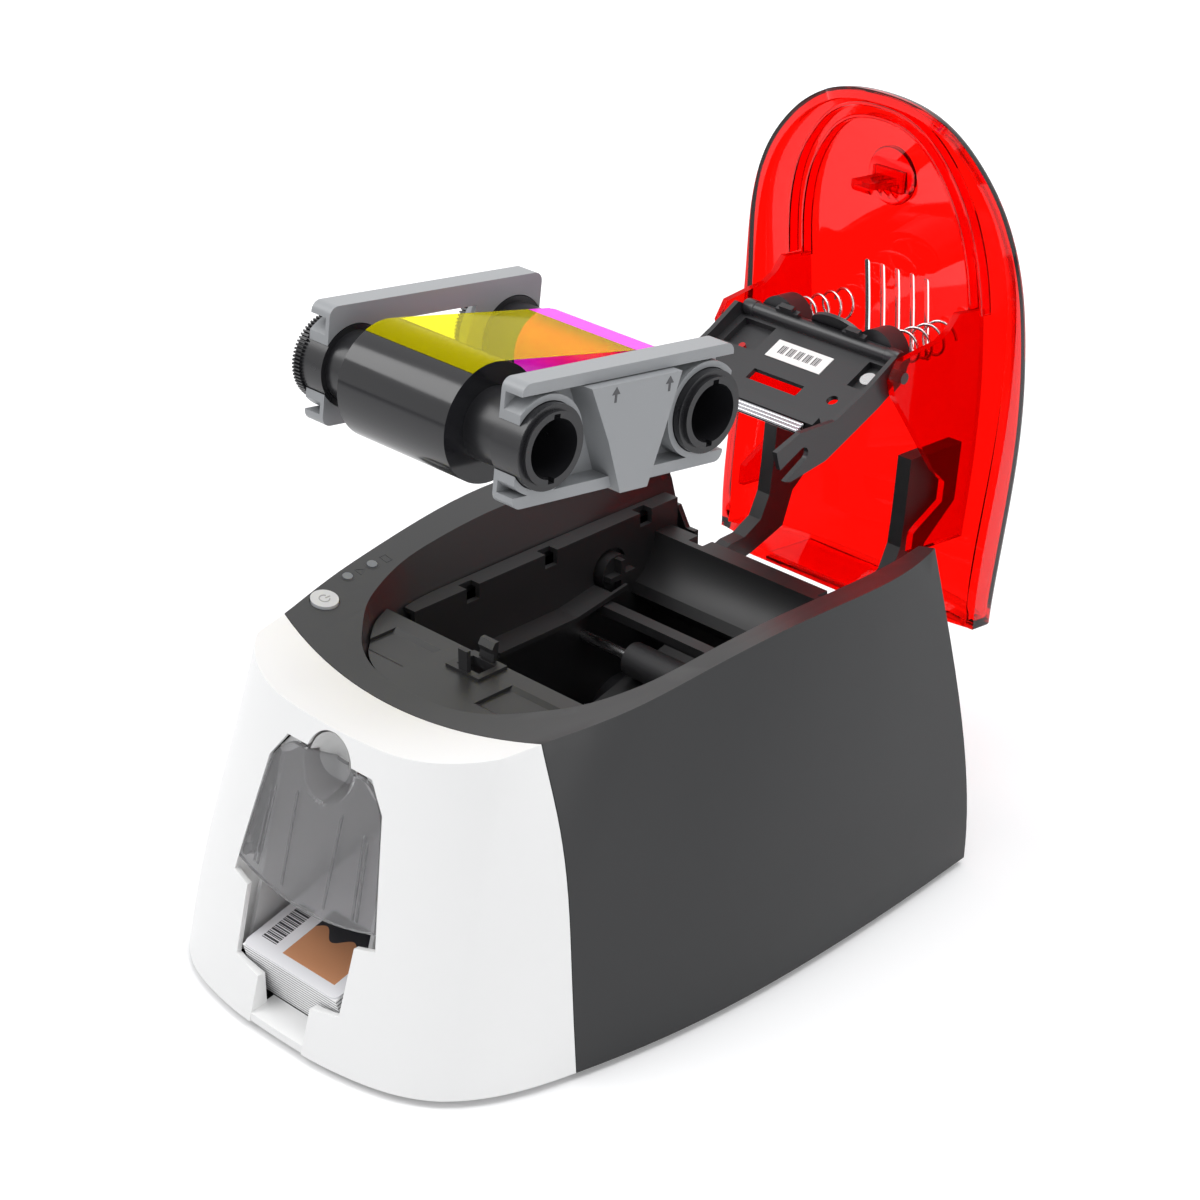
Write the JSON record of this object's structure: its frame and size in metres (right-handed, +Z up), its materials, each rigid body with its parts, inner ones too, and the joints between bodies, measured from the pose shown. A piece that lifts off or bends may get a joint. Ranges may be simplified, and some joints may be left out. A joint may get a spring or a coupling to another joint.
{
  "type": "id card printer",
  "caption": "Desktop card printer with a tapered two-part shell, a hinged lid carrying the print head, a card hopper with a flap, and a lift-out ribbon cassette.",
  "frame": {"origin": "on the desk under the middle of the shell's width, level with the bay, at the bottom of the rubber feet", "axes": "+X to the printer's right seen from its front, +Y from the front to the rear, +Z up"},
  "size_m": [0.2158, 0.3519, 0.2964],
  "materials": {
    "black_plastic": "satin",
    "board_green": "satin",
    "boss_red": "gloss",
    "button_grey": "gloss",
    "card_print": "gloss",
    "card_white": "satin",
    "core_black": "satin",
    "cover_smoke": "gloss",
    "film_black": "gloss",
    "film_magenta": "gloss",
    "film_yellow": "gloss",
    "flange_grey": "satin",
    "foot_rubber": "matte",
    "gear_white": "satin",
    "head_black": "satin",
    "head_metal": "satin",
    "label_white": "matte",
    "lamp_lens": "gloss",
    "lid_red": "gloss",
    "liner_grey": "satin",
    "motor_metal": "satin",
    "roller_rubber": "matte",
    "shell_grey": "satin",
    "shell_white": "satin",
    "steel": "brushed"
  },
  "bodies": {
    "chassis": {"base_tray": "black_plastic", "rubber_feet": "foot_rubber", "front_shell": "shell_white", "rear_shell": "shell_grey", "left_frame": "black_plastic", "right_frame": "black_plastic", "rear_cross_wall": "black_plastic", "hinge_rod": "steel", "bay_bridge": "black_plastic", "bay_deck": "black_plastic", "latch_base": "black_plastic", "card_guide": "black_plastic", "hopper_walls": "liner_grey", "card_stack": "card_white", "printed_card": "card_print", "status_lamps": "lamp_lens", "drive_motor": "motor_metal", "idler_axle": "steel", "spindle_bearing": "black_plastic", "circuit_board": "board_green", "board_standoffs": "steel", "power_inlet": "black_plastic", "data_port": "steel"},
    "lid": {"lid_cover": "lid_red", "lid_hook": "lid_red", "lid_ears": "lid_red", "hinge_arms": "black_plastic", "head_springs": "steel"},
    "print_head": {"head_carrier": "head_black", "print_bar": "head_metal", "heat_sink": "head_metal", "head_bar": "steel", "head_label": "label_white", "head_screw": "steel", "head_boss": "boss_red", "head_pivot_pins": "steel", "spring_cups": "head_black"},
    "cassette": {"cassette_flange_near": "flange_grey", "cassette_flange_far": "flange_grey", "film_web": "film_yellow"},
    "supply_spool": {"supply_core": "core_black", "supply_film": "film_black"},
    "takeup_spool": {"takeup_core": "core_black", "takeup_film": "film_magenta"},
    "hopper_flap": {"hopper_cover": "cover_smoke"},
    "button": {"power_button": "button_grey"},
    "claw": {"latch_claw": "black_plastic"},
    "platen": {"platen_roller": "roller_rubber", "platen_shaft": "steel"},
    "feed": {"feed_roller": "roller_rubber", "feed_shaft": "steel"},
    "transport": {"transport_roller": "roller_rubber", "transport_shaft": "steel"},
    "pinch": {"pinch_roller": "roller_rubber", "pinch_shaft": "steel"},
    "clean": {"clean_roller": "roller_rubber", "clean_shaft": "steel"},
    "pinion": {"motor_pinion": "gear_white"},
    "idler": {"idler_gear": "gear_white"},
    "spindle": {"takeup_spindle": "black_plastic"}
  },
  "joints": [
    {"name": "lid_hinge", "type": "hinge", "parent": "chassis", "child": "lid", "pos_m": [0, 0.1421, 0.0919], "axis": [1, 0, 0], "range_deg": [0, 96.2]},
    {"name": "head_pivot", "type": "hinge", "parent": "lid", "child": "print_head", "pos_m": [0, 0.16046, 0.19703], "axis": [1, 0, 0], "range_deg": [-4, 0]},
    {"name": "cassette_lift", "type": "slide", "parent": "chassis", "child": "cassette", "axis": [0, -0.358, 0.9337], "range_m": [0, 0.151]},
    {"name": "supply_spin", "type": "hinge", "parent": "cassette", "child": "supply_spool", "pos_m": [0, -0.0455, 0.23596], "axis": [1, 0, 0], "continuous": true},
    {"name": "takeup_spin", "type": "hinge", "parent": "cassette", "child": "takeup_spool", "pos_m": [0, 0.035, 0.22464], "axis": [1, 0, 0], "continuous": true},
    {"name": "hopper_cover_hinge", "type": "hinge", "parent": "chassis", "child": "hopper_flap", "pos_m": [0, -0.11287, 0.061], "axis": [1, 0, 0], "range_deg": [0, 50]},
    {"name": "power_button_press", "type": "slide", "parent": "chassis", "child": "button", "axis": [0, 0, 1], "range_m": [-0.0008, 0], "stiffness_N_per_m": 400},
    {"name": "latch_claw_flex", "type": "hinge", "parent": "chassis", "child": "claw", "pos_m": [0, -0.023, 0.1221], "axis": [1, 0, 0], "range_deg": [-8, 0], "stiffness_Nm_per_rad": 0.2},
    {"name": "platen_spin", "type": "hinge", "parent": "chassis", "child": "platen", "pos_m": [0, 0.0584, 0.0462], "axis": [1, 0, 0], "continuous": true},
    {"name": "feed_spin", "type": "hinge", "parent": "chassis", "child": "feed", "pos_m": [0, -0.0619, 0.01589], "axis": [1, 0, 0], "continuous": true},
    {"name": "transport_spin", "type": "hinge", "parent": "chassis", "child": "transport", "pos_m": [0, -0.01158, 0.02899], "axis": [1, 0, 0], "continuous": true},
    {"name": "pinch_spin", "type": "hinge", "parent": "chassis", "child": "pinch", "pos_m": [0, -0.01509, 0.0425], "axis": [1, 0, 0], "continuous": true},
    {"name": "clean_spin", "type": "hinge", "parent": "chassis", "child": "clean", "pos_m": [0, 0.08395, 0.07089], "axis": [1, 0, 0], "continuous": true},
    {"name": "pinion_spin", "type": "hinge", "parent": "chassis", "child": "pinion", "pos_m": [0, 0.104, 0.027], "axis": [1, 0, 0], "continuous": true},
    {"name": "idler_spin", "type": "hinge", "parent": "chassis", "child": "idler", "pos_m": [0, 0.08465, 0.03515], "axis": [1, 0, 0], "continuous": true},
    {"name": "spindle_spin", "type": "hinge", "parent": "chassis", "child": "spindle", "pos_m": [0, 0.0998, 0.0962], "axis": [1, 0, 0], "continuous": true}
  ],
  "couplings": [
    {"joint": "cassette_lift", "follows": "lid_hinge", "m_per_rad": 0.0893},
    {"joint": "takeup_spin", "follows": "supply_spin", "ratio": 1.4675},
    {"joint": "feed_spin", "follows": "platen_spin", "ratio": 1.125},
    {"joint": "transport_spin", "follows": "platen_spin", "ratio": 1.125},
    {"joint": "pinch_spin", "follows": "platen_spin", "ratio": -1.8},
    {"joint": "clean_spin", "follows": "platen_spin", "ratio": -1.2},
    {"joint": "idler_spin", "follows": "platen_spin", "ratio": -0.8985},
    {"joint": "pinion_spin", "follows": "platen_spin", "ratio": 2.2462},
    {"joint": "spindle_spin", "follows": "platen_spin", "ratio": -0.5}
  ]
}
